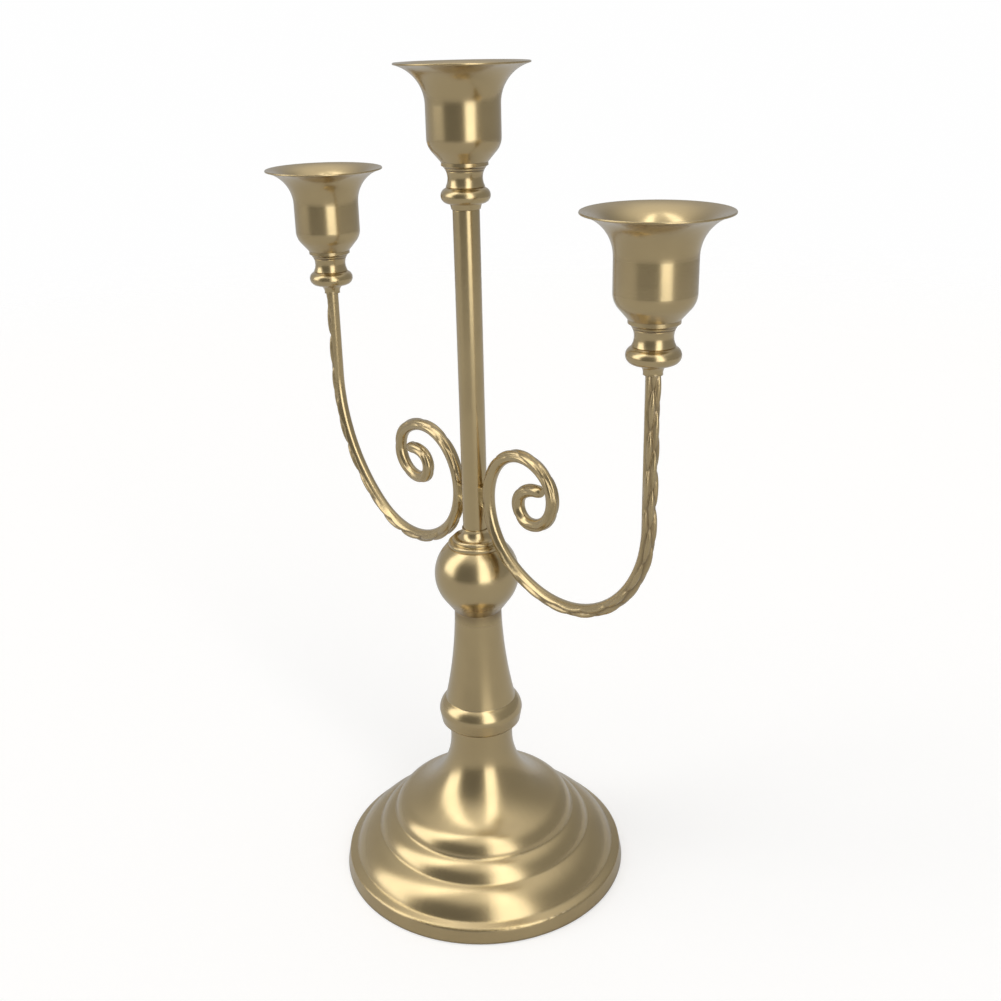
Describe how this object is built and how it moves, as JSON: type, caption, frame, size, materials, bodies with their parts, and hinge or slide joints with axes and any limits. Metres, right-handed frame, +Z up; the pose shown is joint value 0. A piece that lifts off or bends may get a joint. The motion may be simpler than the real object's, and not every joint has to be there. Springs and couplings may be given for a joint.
{
  "type": "candelabra",
  "caption": "Candelabra with a stepped round base, a tapered column and ball, a tube stem and scrolled side arms that carry flared candle cups.",
  "frame": {"origin": "centre of the underside of the base, on the table", "axes": "+Z up along the stem, the side arms along X, the right arm towards +X"},
  "size_m": [0.1896, 0.0992, 0.2711],
  "materials": {
    "gilt_paint": "satin",
    "steel": "zinc plated",
    "felt": "felt"
  },
  "bodies": {
    "root": {"base_shell": "gilt_paint", "tapered_column": "gilt_paint", "ball": "gilt_paint", "stepped_collar": "gilt_paint", "stem_tube": "gilt_paint", "left_arm": "gilt_paint", "right_arm": "gilt_paint", "left_arm_braze": "gilt_paint", "right_arm_braze": "gilt_paint", "left_knob": "gilt_paint", "left_cup_neck": "gilt_paint", "left_candle_cup": "gilt_paint", "left_cup_screw": "gilt_paint", "centre_knob": "gilt_paint", "centre_cup_neck": "gilt_paint", "centre_candle_cup": "gilt_paint", "centre_cup_screw": "gilt_paint", "right_knob": "gilt_paint", "right_cup_neck": "gilt_paint", "right_candle_cup": "gilt_paint", "right_cup_screw": "gilt_paint", "tie_rod": "steel", "clamp_nut": "steel", "clamp_washer": "steel", "stem_insert": "steel", "base_pad": "felt"}
  },
  "joints": []
}
